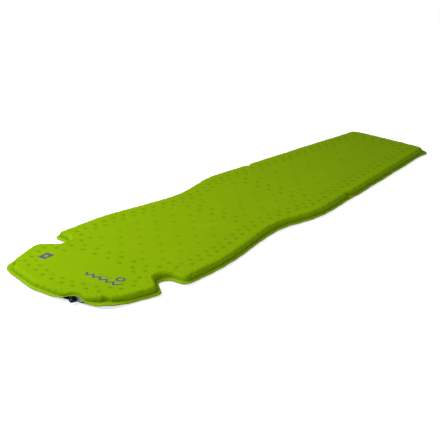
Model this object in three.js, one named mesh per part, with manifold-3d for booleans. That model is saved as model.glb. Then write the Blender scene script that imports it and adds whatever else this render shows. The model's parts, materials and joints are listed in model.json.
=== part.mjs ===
// Self-inflating sleeping pad: two fabric covers welded round their edge over a die-cut foam core,
// with a screw valve in the head-end seam. Millimetres, +Z up, +X towards the foot, and the origin
// on the floor at the middle of the whole object's box.
import * as THREE from "three";
import { mergeVertices } from "three/addons/utils/BufferGeometryUtils.js";
import Module from "manifold-3d";

const wasm = await Module();
wasm.setup();

// ---------------------------------------------------------------- driving dimensions
const PAD_HEIGHT = 25; // floor to the top of the foam
const SHEET = 0.8; // cover thickness
const GAP = 0.3; // clearance kept between touching pieces
const SEAM_Z = 9.6; // height of the welded seam between the covers
const SEAM_WIDTH = 11; // flat welded margin outside the foam

// Outline of the welded edge on the +Y side, foot to head: [x, y, corner radius, segments].
// The -Y side mirrors it, and the head end closes with a short straight run.
const SIDE = [
  [917, 174.5, 28, 4], // foot corner
  [851, 170.5, 60, 1], // end of the small flare at the foot
  [354, 220, 60, 2], // knee, just past the pinch
  [297, 223.5, 40, 2], // pinch between hip and leg
  [97, 243, 330, 4], // hip
  [-95, 203.5, 400, 5], // waist
  [-403, 258, 700, 4], // chest
  [-600, 260.5, 24, 4], // shoulder lobe
  [-604, 206.5, 22, 4], // strap notch, foot side
  [-628, 177, 24, 3], // strap notch, head side
  [-688, 249, 24, 4], // pillow lobe
  [-834, 205, 30, 2], // chamfered head corner
  [-862, 179.5, 24, 2],
  [-897, 46, 150, 6], // head end
];

// Height profile of each cover as [inset from the welded edge, z], edge first.
const TOP_PROFILE = [
  [0, SEAM_Z + GAP / 2 + SHEET],
  [SEAM_WIDTH, SEAM_Z + GAP / 2 + SHEET],
  [SEAM_WIDTH + 1.8, 17],
  [SEAM_WIDTH + 4.6, 22.2],
  [SEAM_WIDTH + 11, PAD_HEIGHT],
];
const BOTTOM_PROFILE = [
  [0, SEAM_Z - GAP / 2 - SHEET],
  [SEAM_WIDTH, SEAM_Z - GAP / 2 - SHEET],
  [SEAM_WIDTH + 2.5, 3],
  [SEAM_WIDTH + 9, 0],
];
const FOAM_PROFILE = [
  [SEAM_WIDTH + 11, SHEET + GAP],
  [SEAM_WIDTH + 5, 4.8],
  [SEAM_WIDTH + 5, 18],
  [SEAM_WIDTH + 12.5, PAD_HEIGHT - SHEET - GAP],
];

// Die-cut holes through the foam: diamonds, so that the sheet dips a little over each of them.
const HOLE_LENGTH = 16;
const HOLE_WIDTH = 11;
const BORDER_INSET = 58; // the row that follows the outline
const BORDER_PITCH = 46;
const BAND_X = [-626, -147, 158]; // double rows across the pad, between its zones
const BAND_GAP = 32;
const BAND_PITCH = 48;
const GRID_PITCH_X = 98; // sparse staggered grid inside the zones
const GRID_PITCH_Y = 84;

// Valve, measured along its axis outwards from the welded edge.
const VALVE_Y = -102;
const VALVE_TILT = THREE.MathUtils.degToRad(10); // the knob end points a little upwards
const VALVE_PIVOT = 7; // how far inside the edge the tilted axis crosses the seam
const SCALLOP = 12; // how far the welded edge draws back at the valve
const SCALLOP_REACH = 45; // inset at which that has died away
const LENS_HALF_WIDTH = 28;
const LENS_HALF_HEIGHT = 5.6;
const LENS_INNER = -17;
const LENS_OUTER = 1;
const ARCH_HALF_WIDTH = 36; // how far along the seam the covers lift round the lens
const ARCH_STATIONS = 14; // outline segments along the arch
const ARCH_RISE = LENS_HALF_HEIGHT + 1.5;
const BASE_BORE = 4.2;
const COLLAR_RADIUS = 6.6;
const COLLAR_END = 3;
const STEM_INNER = -24;
const STEM_SHOULDER = COLLAR_END + GAP;
const STEM_SHOULDER_END = 4.6;
const STEM_END = 14.8;
const STEM_CORE = 4.7;
const STEM_BORE_WIDE = 3.1;
const STEM_BORE = 2.7;
const STEM_STEP = 3.5; // where the bore narrows and stops the plunger's barb
const THREAD_LEAD = 4; // travel per turn
const THREAD_START = 6.9;
const THREAD_BASE = 1.6;
const THREAD_CREST = 1.1;
const KNOB_START = 5.2;
const KNOB_CEILING = 17.6;
const KNOB_END = 22;
const KNOB_RADIUS = 8.3;
const KNOB_RIB = 0.5;
const KNOB_RIBS = 16;
const KNOB_BORE = 6.7;

const MATERIALS = {
  top_fabric: { color: 0x8ab300, roughness: 0.62, metalness: 0 },
  bottom_fabric: { color: 0x26262b, roughness: 0.8, metalness: 0 },
  foam: { color: 0xe9e2c8, roughness: 0.95, metalness: 0 },
  ink: { color: 0x56536b, roughness: 0.5, metalness: 0 },
  grey_plastic: { color: 0x7d8f98, roughness: 0.4, metalness: 0 },
  black_plastic: { color: 0x17171b, roughness: 0.45, metalness: 0 },
  rubber: { color: 0x1c1c1c, roughness: 0.85, metalness: 0 },
};
const materials = Object.fromEntries(
  Object.entries(MATERIALS).map(([name, look]) => [name, new THREE.MeshStandardMaterial(look)]),
);

// ---------------------------------------------------------------- outline
// All control corners of the welded edge, counter-clockwise seen from above.
const CORNERS = [...SIDE, ...SIDE.map(([x, y, r, n]) => [x, -y, r, n]).reverse()];

// The control polygon moved inwards by inset; outer corners tighten and inner corners widen.
function insetCorners(inset) {
  const count = CORNERS.length;
  return CORNERS.map(([x, y, radius, segments], i) => {
    const before = CORNERS[(i + count - 1) % count];
    const after = CORNERS[(i + 1) % count];
    const a = new THREE.Vector2(x - before[0], y - before[1]).normalize();
    const b = new THREE.Vector2(after[0] - x, after[1] - y).normalize();
    const normalA = new THREE.Vector2(-a.y, a.x);
    const normalB = new THREE.Vector2(-b.y, b.x);
    const push = normalA.clone().add(normalB).multiplyScalar(inset / (1 + normalA.dot(normalB)));
    const turn = Math.atan2(a.cross(b), a.dot(b));
    const moved = turn > 0 ? Math.max(radius - inset, 3) : radius + inset;
    return { at: new THREE.Vector2(x, y).add(push), a, b, turn, radius: moved, segments };
  });
}

// The rounded outline at an inset, as points with one fixed count at every inset.
function outline(inset) {
  const points = [];
  for (const { at, a, b, turn, radius, segments } of insetCorners(inset)) {
    const tangent = radius * Math.tan(Math.abs(turn) / 2);
    const side = Math.sign(turn);
    const start = at.clone().addScaledVector(a, -tangent);
    const centre = start.clone().add(new THREE.Vector2(-a.y, a.x).multiplyScalar(side * radius));
    for (let k = 0; k <= segments; k++) {
      points.push(start.clone().rotateAround(centre, (turn * k) / segments));
    }
  }
  return withArchStations(points);
}

// Adds points along the straight run that carries the valve, so that the covers can arch there.
function withArchStations(points) {
  const from = points.findIndex((p, i) => p.x < 0 && p.y > VALVE_Y && points[i + 1]?.y < VALVE_Y);
  const [p, q] = [points[from], points[from + 1]];
  const stations = Array.from({ length: ARCH_STATIONS + 1 }, (_, k) => {
    const y = VALVE_Y + ARCH_HALF_WIDTH * (1 - (2 * k) / ARCH_STATIONS);
    return p.clone().lerp(q, (y - p.y) / (q.y - p.y));
  });
  return [...points.slice(0, from + 1), ...stations, ...points.slice(from + 1)];
}

// Where the welded edge crosses the valve's line on the head side.
function headEdgeAt(y) {
  const ring = outline(0);
  const crossings = ring.map((p, i) => {
    const q = ring[(i + 1) % ring.length];
    return p.y > y === q.y > y ? Infinity : p.x + ((y - p.y) / (q.y - p.y)) * (q.x - p.x);
  });
  return Math.min(...crossings);
}

const valveEdgeX = headEdgeAt(VALVE_Y) + SCALLOP;

// ---------------------------------------------------------------- solids
// A closed solid through rings of equal count; ends are closed with flat caps, holes pierce both.
function loftedSolid(rings, holes = []) {
  const count = rings[0].length;
  const positions = rings.flat().flatMap((p) => [p.x, p.y, p.z]);
  const index = [];
  for (let r = 0; r + 1 < rings.length; r++) {
    for (let i = 0; i < count; i++) {
      const j = (i + 1) % count;
      const [a, b, c, d] = [r * count + i, r * count + j, (r + 1) * count + j, (r + 1) * count + i];
      index.push(a, b, c, a, c, d);
    }
  }
  const bottom = rings[0];
  const top = rings.at(-1);
  const holeBase = positions.length / 3;
  for (const z of [bottom[0].z, top[0].z]) {
    holes.flat().forEach((p) => positions.push(p.x, p.y, z));
  }
  const flatCount = holes.flat().length;
  const faces = THREE.ShapeUtils.triangulateShape(
    bottom.map((p) => new THREE.Vector2(p.x, p.y)),
    holes,
  );
  const low = (k) => (k < count ? k : holeBase + k - count);
  faces.forEach(([a, b, c]) => index.push(low(c), low(b), low(a)));
  const topFaces = THREE.ShapeUtils.triangulateShape(
    top.map((p) => new THREE.Vector2(p.x, p.y)),
    holes,
  );
  const high = (k) => (k < count ? (rings.length - 1) * count + k : holeBase + flatCount + k - count);
  topFaces.forEach(([a, b, c]) => index.push(high(a), high(b), high(c)));
  let offset = holeBase;
  for (const hole of holes) {
    for (let i = 0; i < hole.length; i++) {
      const j = (i + 1) % hole.length;
      const [a, b] = [offset + i, offset + j];
      index.push(a, b + flatCount, b, a, a + flatCount, b + flatCount);
    }
    offset += hole.length;
  }
  const geometry = new THREE.BufferGeometry();
  geometry.setAttribute("position", new THREE.Float32BufferAttribute(positions, 3));
  geometry.setIndex(index);
  return geometry;
}

// How strongly the valve shapes the covers at a point: 1 on its line, 0 past the arch's ends.
function nearValve(point) {
  const along = (point.y - VALVE_Y) / ARCH_HALF_WIDTH;
  return point.x < valveEdgeX + 60 && Math.abs(along) < 1 ? 1 - along * along : 0;
}

// A ring at an inset and height; lift(point) moves a point up or down near the valve.
function ringAt(inset, z, lift = () => 0) {
  const fade = Math.max(1 - inset / SCALLOP_REACH, 0);
  return outline(inset).map((p) => {
    const x = p.x + SCALLOP * fade * nearValve(p) ** 2;
    return new THREE.Vector3(x, p.y, z + lift({ x, y: p.y }));
  });
}

// How far the opened seam stands above (side 1) or below (side -1) its own height at a point.
function archAt(point, side) {
  const outwards = valveEdgeX - point.x;
  const tilted = Math.tan(VALVE_TILT) * (outwards + VALVE_PIVOT);
  return Math.max(nearValve(point) * (ARCH_RISE + side * tilted), 0);
}

// Inner side of a profile: each point moved by the sheet's thickness, square to the profile.
function innerProfile(profile, side) {
  return profile.map(([inset, z], i) => {
    const before = profile[Math.max(i - 1, 0)];
    const after = profile[Math.min(i + 1, profile.length - 1)];
    const flat = i < 1 || i === profile.length - 1;
    const along = new THREE.Vector2(after[0] - before[0], after[1] - before[1]).normalize();
    const normal = flat ? new THREE.Vector2(0, 1) : new THREE.Vector2(-along.y, along.x);
    normal.multiplyScalar(side);
    return [inset + normal.x * SHEET, z + normal.y * SHEET];
  });
}

// The top cover is an upturned tray: outside up from the edge, then back down its inside.
function topCover() {
  const floor = SEAM_Z + GAP / 2;
  const lift = (above) => (p) => Math.max(archAt(p, 1) - above, 0);
  const outside = TOP_PROFILE.map(([inset, z]) => ringAt(inset, z, lift(z - floor - SHEET)));
  const inside = innerProfile(TOP_PROFILE, -1).map(([inset, z], i) =>
    i < 2 ? ringAt(inset, floor, lift(0)) : ringAt(inset, z, lift(z - floor)),
  );
  return closedTray(outside, inside);
}

// The bottom cover is the same tray the other way up, lying flat on the floor.
function bottomCover() {
  const ceiling = SEAM_Z - GAP / 2;
  const sink = (below) => (p) => -Math.max(archAt(p, -1) - below, 0);
  const outside = BOTTOM_PROFILE.map(([inset, z]) => ringAt(inset, z, sink(ceiling - SHEET - z)));
  const inside = innerProfile(BOTTOM_PROFILE, 1).map(([inset, z], i) =>
    i < 2 ? ringAt(inset, ceiling, sink(0)) : ringAt(inset, z, sink(ceiling - z)),
  );
  return closedTray(inside, outside);
}

// A tray's skin from the middle of its first side, over the edge, to the middle of its other side.
function closedTray(upper, lower) {
  const rings = [...lower.reverse(), ...upper];
  return loftedSolid(rings);
}

// ---------------------------------------------------------------- foam
function diamond(x, y, alongX) {
  const [a, b] = alongX ? [HOLE_LENGTH / 2, HOLE_WIDTH / 2] : [HOLE_WIDTH / 2, HOLE_LENGTH / 2];
  return [
    new THREE.Vector2(x + a, y),
    new THREE.Vector2(x, y + b),
    new THREE.Vector2(x - a, y),
    new THREE.Vector2(x, y - b),
  ];
}

// Is a point inside the outline at an inset? Even-odd rule.
function insideRing(ring, x, y) {
  let inside = false;
  ring.forEach((p, i) => {
    const q = ring[(i + 1) % ring.length];
    if (p.y > y !== q.y > y && x < p.x + ((y - p.y) / (q.y - p.y)) * (q.x - p.x)) inside = !inside;
  });
  return inside;
}

function foamHoles() {
  const holes = [];
  const centres = [];
  const border = outline(BORDER_INSET);
  const room = outline(BORDER_INSET + 26);
  const add = (x, y, alongX) => {
    const clear = centres.every((c) => Math.hypot(c.x - x, c.y - y) > HOLE_LENGTH + 9);
    if (clear) {
      centres.push({ x, y });
      holes.push(diamond(x, y, alongX));
    }
  };
  const length = border.reduce((sum, p, i) => sum + p.distanceTo(border[(i + 1) % border.length]), 0);
  const steps = Math.round(length / BORDER_PITCH);
  for (let k = 0; k < steps; k++) {
    const p = pointAlong(border, (k * length) / steps);
    add(p.x, p.y, true);
  }
  for (const bandX of BAND_X) {
    for (const [column, x] of [bandX - BAND_GAP / 2, bandX + BAND_GAP / 2].entries()) {
      for (let row = -4; row <= 4; row++) {
        const y = (row + column / 2) * BAND_PITCH;
        if (insideRing(room, x, y)) add(x, y, false);
      }
    }
  }
  for (let column = -7; column <= 8; column++) {
    for (let row = -3; row <= 3; row++) {
      const x = column * GRID_PITCH_X;
      const y = (row + (column % 2 ? 0.5 : 0)) * GRID_PITCH_Y;
      const inBand = BAND_X.some((b) => Math.abs(b - x) < BAND_GAP / 2 + HOLE_LENGTH);
      if (!inBand && insideRing(room, x, y)) add(x, y, true);
    }
  }
  return holes;
}

function pointAlong(ring, distance) {
  let left = distance;
  for (let i = 0; i < ring.length; i++) {
    const next = ring[(i + 1) % ring.length];
    const step = ring[i].distanceTo(next);
    if (left <= step) return ring[i].clone().lerp(next, left / step);
    left -= step;
  }
  return ring[0].clone();
}

function foamCore() {
  const slab = loftedSolid(
    FOAM_PROFILE.map(([inset, z]) => ringAt(inset, z)),
    foamHoles(),
  );
  const pocketWidth = 2 * (LENS_HALF_WIDTH + 4);
  const pocketDepth = 70;
  const pocket = new THREE.BoxGeometry(pocketDepth, pocketWidth, 2 * PAD_HEIGHT);
  pocket.translate(valveEdgeX - STEM_INNER + 4 - pocketDepth / 2, VALVE_Y, 0);
  return cut(slab, pocket);
}

// ---------------------------------------------------------------- joining and cutting
function solid(geometry) {
  const bare = geometry.clone();
  bare.deleteAttribute("normal");
  bare.deleteAttribute("uv");
  const merged = mergeVertices(bare, 1e-4);
  const mesh = new wasm.Mesh({
    numProp: 3,
    vertProperties: new Float32Array(merged.attributes.position.array),
    triVerts: new Uint32Array(merged.index.array),
  });
  return new wasm.Manifold(mesh);
}

function geometryOf(manifold) {
  const mesh = manifold.getMesh();
  const geometry = new THREE.BufferGeometry();
  geometry.setAttribute("position", new THREE.Float32BufferAttribute(mesh.vertProperties, 3));
  geometry.setIndex(new THREE.BufferAttribute(mesh.triVerts, 1));
  return geometry;
}

function cut(body, ...tools) {
  return geometryOf(tools.reduce((left, tool) => left.subtract(solid(tool)), solid(body)));
}

function join(...pieces) {
  return geometryOf(pieces.slice(1).reduce((whole, piece) => whole.add(solid(piece)), solid(pieces[0])));
}

// ---------------------------------------------------------------- valve, with its axis along local +Y
function turned(profile, segments = 32) {
  const closed = [...profile, profile[0]].map(([r, y]) => new THREE.Vector2(r, y));
  return new THREE.LatheGeometry(closed, segments);
}

function tube(inner, outer, start, end, segments) {
  return turned([[inner, start], [outer, start], [outer, end], [inner, end]], segments);
}

function rod(radius, start, end, segments = 24) {
  return new THREE.CylinderGeometry(radius, radius, end - start, segments).translate(0, (start + end) / 2, 0);
}

// A right-handed helical ridge of trapezium section, base at one radius and crest at the other.
function ridge(baseRadius, crestRadius, start, turns) {
  const perTurn = 24;
  const steps = Math.round(turns * perTurn);
  const section = [
    [baseRadius, -THREAD_BASE / 2],
    [crestRadius, -THREAD_CREST / 2],
    [crestRadius, THREAD_CREST / 2],
    [baseRadius, THREAD_BASE / 2],
  ];
  const positions = [];
  for (let i = 0; i <= steps; i++) {
    const angle = (i / perTurn) * 2 * Math.PI;
    const rise = start + (THREAD_LEAD * i) / perTurn;
    section.forEach(([r, y]) => positions.push(r * Math.sin(angle), rise + y, r * Math.cos(angle)));
  }
  const index = [];
  const flip = crestRadius < baseRadius;
  const face = (a, b, c) => (flip ? index.push(a, c, b) : index.push(a, b, c));
  for (let i = 0; i < steps; i++) {
    for (let k = 0; k < 4; k++) {
      const [a, b] = [4 * i + k, 4 * i + ((k + 1) % 4)];
      face(a, a + 4, b + 4);
      face(a, b + 4, b);
    }
  }
  face(0, 1, 2);
  face(0, 2, 3);
  const last = 4 * steps;
  face(last, last + 2, last + 1);
  face(last, last + 3, last + 2);
  const geometry = new THREE.BufferGeometry();
  geometry.setAttribute("position", new THREE.Float32BufferAttribute(positions, 3));
  geometry.setIndex(index);
  return geometry;
}

function valveBase() {
  const lens = new THREE.Shape();
  const sides = 14;
  for (let i = 0; i < 2 * sides; i++) {
    const share = i < sides ? i / sides : (2 * sides - i) / sides;
    const x = LENS_HALF_WIDTH * (1 - 2 * share);
    const height = LENS_HALF_HEIGHT * (1 - (x / LENS_HALF_WIDTH) ** 2) + 0.25;
    const y = i < sides ? height : -height;
    if (i === 0) lens.moveTo(x, y);
    else lens.lineTo(x, y);
  }
  const boat = new THREE.ExtrudeGeometry(lens, { depth: LENS_OUTER - LENS_INNER, bevelEnabled: false });
  boat.rotateX(-Math.PI / 2).translate(0, LENS_INNER, 0);
  const collar = rod(COLLAR_RADIUS, LENS_OUTER - 2, COLLAR_END, 32);
  return cut(join(boat, collar), rod(BASE_BORE, LENS_INNER - 5, COLLAR_END + 5, 32));
}

function valveStem() {
  const barrel = turned([
    [STEM_BORE_WIDE, STEM_INNER],
    [BASE_BORE - GAP, STEM_INNER],
    [BASE_BORE - GAP, STEM_SHOULDER],
    [COLLAR_RADIUS - 0.6, STEM_SHOULDER],
    [COLLAR_RADIUS - 0.6, STEM_SHOULDER_END],
    [STEM_CORE, STEM_SHOULDER_END],
    [STEM_CORE, STEM_END],
    [STEM_BORE, STEM_END],
    [STEM_BORE, STEM_STEP],
    [STEM_BORE_WIDE, STEM_STEP],
  ]);
  return join(barrel, ridge(STEM_CORE - 0.4, STEM_CORE + 1.4, THREAD_START, 1.75));
}

function valveKnob() {
  const grip = new THREE.Shape();
  const steps = KNOB_RIBS * 4;
  for (let i = 0; i < steps; i++) {
    const angle = (i / steps) * 2 * Math.PI;
    const radius = KNOB_RADIUS + (i % 4 < 2 ? KNOB_RIB : 0);
    if (i === 0) grip.moveTo(radius, 0);
    else grip.lineTo(radius * Math.cos(angle), radius * Math.sin(angle));
  }
  const skirt = 1.2;
  const shoulder = 1.4;
  const gripLength = KNOB_END - shoulder - KNOB_START - skirt;
  const ribbed = new THREE.ExtrudeGeometry(grip, { depth: gripLength, bevelEnabled: false });
  ribbed.rotateX(-Math.PI / 2).translate(0, KNOB_START + skirt, 0);
  const core = turned([
    [0, KNOB_START],
    [KNOB_RADIUS, KNOB_START],
    [KNOB_RADIUS, KNOB_END - shoulder],
    [KNOB_RADIUS - shoulder, KNOB_END],
    [0, KNOB_END],
  ]);
  const vents = [0, 1, 2, 3, 4, 5].map((k) => {
    const angle = (k / 6) * 2 * Math.PI;
    const drill = rod(0.9, KNOB_CEILING - 2, KNOB_END + 2, 8);
    return drill.translate(5.2 * Math.cos(angle), 0, 5.2 * Math.sin(angle));
  });
  const hollow = cut(
    join(core, ribbed),
    rod(KNOB_BORE, KNOB_START - 5, KNOB_CEILING, 32),
    rod(2, KNOB_CEILING - 2, KNOB_END + 2, 16),
    rod(3.4, KNOB_END - 2, KNOB_END + 2, 16),
    ...vents,
  );
  return join(hollow, ridge(KNOB_BORE + 0.3, STEM_CORE + 0.5, THREAD_START + THREAD_LEAD / 2, 1.25));
}

const NECK_RADIUS = 1.5;
const SEAL_START = STEM_END + GAP;
const SEAL_END = SEAL_START + 1.2;

function valvePlunger() {
  const fin = (width, start, end) =>
    [[2 * width, 1.4], [1.4, 2 * width]].map(([x, z]) =>
      new THREE.BoxGeometry(x, end - start, z).translate(0, (start + end) / 2, 0),
    );
  const barbStart = STEM_STEP - THREAD_LEAD - 0.7;
  return join(
    ...fin(STEM_BORE - GAP, barbStart, STEM_END),
    ...fin(STEM_BORE_WIDE - 0.2, barbStart, barbStart + 0.6),
    rod(NECK_RADIUS, STEM_END - 1, KNOB_END - 0.8, 16),
    rod(4.6, SEAL_END + GAP, KNOB_CEILING - GAP, 24),
    rod(2.7, KNOB_END - 1.6, KNOB_END - 0.6, 16),
  );
}

// ---------------------------------------------------------------- prints on the top cover
const PRINT_Z = PAD_HEIGHT + GAP;
const PRINT_THICKNESS = 0.25;

function film(shape) {
  const solid = new THREE.ExtrudeGeometry(shape, { depth: PRINT_THICKNESS, bevelEnabled: false });
  return solid.translate(0, 0, PRINT_Z);
}

function rectangle(x, y, width, height) {
  const shape = new THREE.Shape();
  shape.moveTo(x - width / 2, y - height / 2);
  shape.lineTo(x + width / 2, y - height / 2);
  shape.lineTo(x + width / 2, y + height / 2);
  shape.lineTo(x - width / 2, y + height / 2);
  return shape;
}

function regular(x, y, radius, sides) {
  return Array.from({ length: sides }, (_, k) => {
    const angle = (k / sides) * 2 * Math.PI;
    return new THREE.Vector2(x + radius * Math.cos(angle), y + radius * Math.sin(angle));
  });
}

// A zigzag strip like a ridge line, running across the pad.
function ridgePrint(x, y, length, height, stroke) {
  const peaks = 5;
  const step = length / (2 * peaks);
  const upper = [];
  const lower = [];
  for (let k = 0; k <= 2 * peaks; k++) {
    const high = k % 2 ? height / 2 - stroke : -height / 2;
    upper.push(new THREE.Vector2(x - high - stroke, y - length / 2 + k * step));
    lower.push(new THREE.Vector2(x - high, y - length / 2 + k * step));
  }
  return new THREE.Shape([...lower, ...upper.reverse()]);
}

const BADGE = { x: -744, y: 141.5, width: 40, height: 28, hole: 6.5 };
const RIDGE = { x: -755, y: -85, length: 124, height: 25, stroke: 10 };
const RULE = { x: -735, y: -80, length: 47, width: 2 };
const HEXAGON = { x: -723, y: -125.5, outer: 16, inner: 8.5 };

function badgePrint() {
  const shape = rectangle(BADGE.x, BADGE.y, BADGE.width, BADGE.height);
  shape.holes.push(new THREE.Path(regular(BADGE.x, BADGE.y, BADGE.hole, 16).reverse()));
  return film(shape);
}

function hexagonPrint() {
  const shape = new THREE.Shape(regular(HEXAGON.x, HEXAGON.y, HEXAGON.outer, 6));
  shape.holes.push(new THREE.Path(regular(HEXAGON.x, HEXAGON.y, HEXAGON.inner, 6).reverse()));
  return film(shape);
}

// ---------------------------------------------------------------- assembly
function piece(name, geometry, material) {
  const mesh = new THREE.Mesh(geometry, materials[material]);
  mesh.name = name;
  return mesh;
}

const envelope = new THREE.Group();
envelope.add(
  piece("bottom_cover", bottomCover(), "bottom_fabric"),
  piece("top_cover", topCover(), "top_fabric"),
  piece("foam_core", foamCore(), "foam"),
  piece("badge_print", badgePrint(), "ink"),
  piece("ridge_print", film(ridgePrint(RIDGE.x, RIDGE.y, RIDGE.length, RIDGE.height, RIDGE.stroke)), "ink"),
  piece("rule_print", film(rectangle(RULE.x, RULE.y, RULE.width, RULE.length)), "ink"),
  piece("hexagon_print", hexagonPrint(), "ink"),
);

const valve = new THREE.Group();
valve.position.set(
  valveEdgeX + VALVE_PIVOT * (1 - Math.cos(VALVE_TILT)),
  VALVE_Y,
  SEAM_Z + VALVE_PIVOT * Math.sin(VALVE_TILT),
);
valve.rotation.set(0, VALVE_TILT, Math.PI / 2); // the valve's axis points out of the head end
const stemRing = new THREE.TorusGeometry(5.7, 0.6, 8, 24).rotateX(Math.PI / 2);
stemRing.translate(0, STEM_SHOULDER_END + 0.9, 0);
valve.add(
  piece("valve_base", valveBase(), "grey_plastic"),
  piece("valve_stem", valveStem(), "grey_plastic"),
  piece("stem_o_ring", stemRing, "rubber"),
  piece("valve_plunger", valvePlunger(), "grey_plastic"),
  piece("seal_disc", tube(NECK_RADIUS + 0.4, 4.9, SEAL_START, SEAL_END, 24), "rubber"),
  piece("valve_knob", valveKnob(), "black_plastic"),
);

// Slides everything so that the origin is at the middle of the whole object's length.
const part = new THREE.Group();
part.add(envelope, valve);
const box = new THREE.Box3().setFromObject(part, true);
part.position.x = -(box.min.x + box.max.x) / 2;

export default part;
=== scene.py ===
"""Self-inflating sleeping pad: two welded fabric covers over a die-cut foam core, with a screw valve.

Sizes in the tables are millimetres in the pad's own plan: +X towards the foot, +Y to one side, Z up from
the floor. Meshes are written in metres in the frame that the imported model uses.
"""

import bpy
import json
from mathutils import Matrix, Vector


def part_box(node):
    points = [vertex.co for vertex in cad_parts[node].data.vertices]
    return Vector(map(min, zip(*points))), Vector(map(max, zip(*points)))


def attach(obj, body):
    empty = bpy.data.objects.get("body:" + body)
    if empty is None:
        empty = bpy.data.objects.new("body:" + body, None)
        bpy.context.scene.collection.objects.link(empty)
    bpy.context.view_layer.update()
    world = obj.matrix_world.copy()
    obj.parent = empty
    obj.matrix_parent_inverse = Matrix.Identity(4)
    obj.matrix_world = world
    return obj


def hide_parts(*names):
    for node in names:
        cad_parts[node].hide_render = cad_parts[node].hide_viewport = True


bl_info = {
    "name": "Self-inflating sleeping pad",
    "version": (1, 0, 0),
    "blender": (4, 5, 0),
    "location": "View3D > Sidebar > Sleeping Pad",
    "description": "Builds the covers, foam, prints, valve and studio of a tapered camping mat",
    "category": "Add Mesh",
}

import json
import math

import bpy
import numpy as np
from bpy.props import FloatProperty, FloatVectorProperty, IntProperty, PointerProperty
from mathutils import Matrix, Vector
from mathutils.geometry import delaunay_2d_cdt

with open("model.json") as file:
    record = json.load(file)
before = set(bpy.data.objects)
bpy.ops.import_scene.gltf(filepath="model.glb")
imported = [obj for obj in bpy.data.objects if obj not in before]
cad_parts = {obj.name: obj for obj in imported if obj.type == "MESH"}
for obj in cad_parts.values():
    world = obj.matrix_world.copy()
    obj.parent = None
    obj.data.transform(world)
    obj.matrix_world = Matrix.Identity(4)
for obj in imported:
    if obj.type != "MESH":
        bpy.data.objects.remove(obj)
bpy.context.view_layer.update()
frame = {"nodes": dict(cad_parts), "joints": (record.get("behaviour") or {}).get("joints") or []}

MM = 0.001

# ---------------------------------------------------------------- plan of the pad
# Corners of the welded edge on the +Y side, foot to head: x, y, corner radius. The -Y side mirrors them.
SIDE = (
    (917, 174.5, 28),  # foot corner
    (851, 170.5, 60),  # end of the small flare at the foot
    (354, 220, 60),  # knee
    (297, 223.5, 40),  # pinch between hip and leg
    (97, 243, 330),  # hip
    (-95, 203.5, 400),  # waist
    (-403, 258, 700),  # chest
    (-600, 260.5, 24),  # shoulder lobe
    (-604, 206.5, 22),  # strap notch, foot side
    (-628, 177, 24),  # strap notch, head side
    (-688, 249, 24),  # pillow lobe
    (-834, 205, 30),  # chamfered head corner
    (-862, 179.5, 24),
    (-897, 46, 150),  # head end
)
CORNERS = np.array(SIDE + tuple((x, -y, r) for x, y, r in reversed(SIDE)), float)
LEAST_RADIUS = 8
FOOT_X = SIDE[0][0]
PLAN_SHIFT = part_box("top_cover")[1].x / MM - FOOT_X  # plan x to frame x

SHEET = 0.8  # cover thickness
SEAM_Z = 9.6  # height of the welded seam
SEAM_GAP = 0.3  # clearance between the two covers along the seam
BONDED_UNDERSIDE = 21.7  # underside of the upper sheet with the foam skin bonded to it
FOAM_TOP = 21.3

LENS_HALF_WIDTH = 28  # of the valve base, across the seam
VALVE_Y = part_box("valve_base")[0].y / MM + LENS_HALF_WIDTH
VALVE_TILT = math.radians(10)
VALVE_PIVOT = 7
KNOB_PIVOT = 14  # from the welded edge out to the knob's turning point, along the valve's axis
HEAD_X = -800  # plan x beyond which the outline is the head end
VALVE_REACH = 60  # how far from the welded edge the valve's arch and the hollow in the foam can act
SCALLOP = 12  # how far the welded edge draws back at the valve
SCALLOP_REACH = 45  # inset at which that has died away
ARCH_HALF_WIDTH = 33
ARCH_RISE = 7.1

# Places where the flat margin is wider than usual, or the foam edge is pinched: x, y, extra width, reach.
WIDE_MARGINS = (
    (905, 165, 9, 22),
    (905, -165, 9, 22),
    (-850, 190, 15, 20),
    (-850, -190, 18, 26),
    (-688, 249, 5, 14),
    (-688, -249, 6, 14),
    (297, 223, 6, 9),
    (297, -223, 8, 9),
)
# Head corners, where the margin stands out level: x, y, reach.
TABS = ((-850, 190, 26), (-845, -192, 24))
HANG_PULL = 1.5  # how far the hanging rim draws in
# Creases pressed into the top sheet: x, y, heading in degrees, length, width, depth.
CREASES = (
    (-818, 172, 150, 34, 5, 1.6),
    (-842, -168, 205, 30, 5, 1.6),
    (-800, -196, 250, 22, 6, 1.4),
    (-650, 196, 300, 26, 6, 1.2),
    (-650, -196, 60, 26, 6, 1.2),
    (293, 190, 85, 30, 6, 1.8),
    (293, -190, 275, 32, 6, 2.2),
)
# Double rows of die cuts across the pad, between its zones.
BANDS = (-622, -147, 158)
BAND_GAP = 32
BAND_PITCH = 48
# Zones of staggered die cuts: from x, to x, step along, step across, depth of the dimple over each.
ZONES = (
    (-596, -172, 80, 80, 0.6),
    (-120, 132, 84, 84, 0.5),
    (186, 880, 92, 84, 0.5),
)
BORDER_INSET = 40  # the ring that the two border rows are measured from
BORDER_SPACING = 12  # of the ring's own points
BORDER_PITCH = 40
BORDER_ROWS = ((14, 0.0, 1.0), (38, 0.5, 0.8))  # distance inwards, shift in pitches, depth
LEAST_CUT_SPACING = 26


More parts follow.
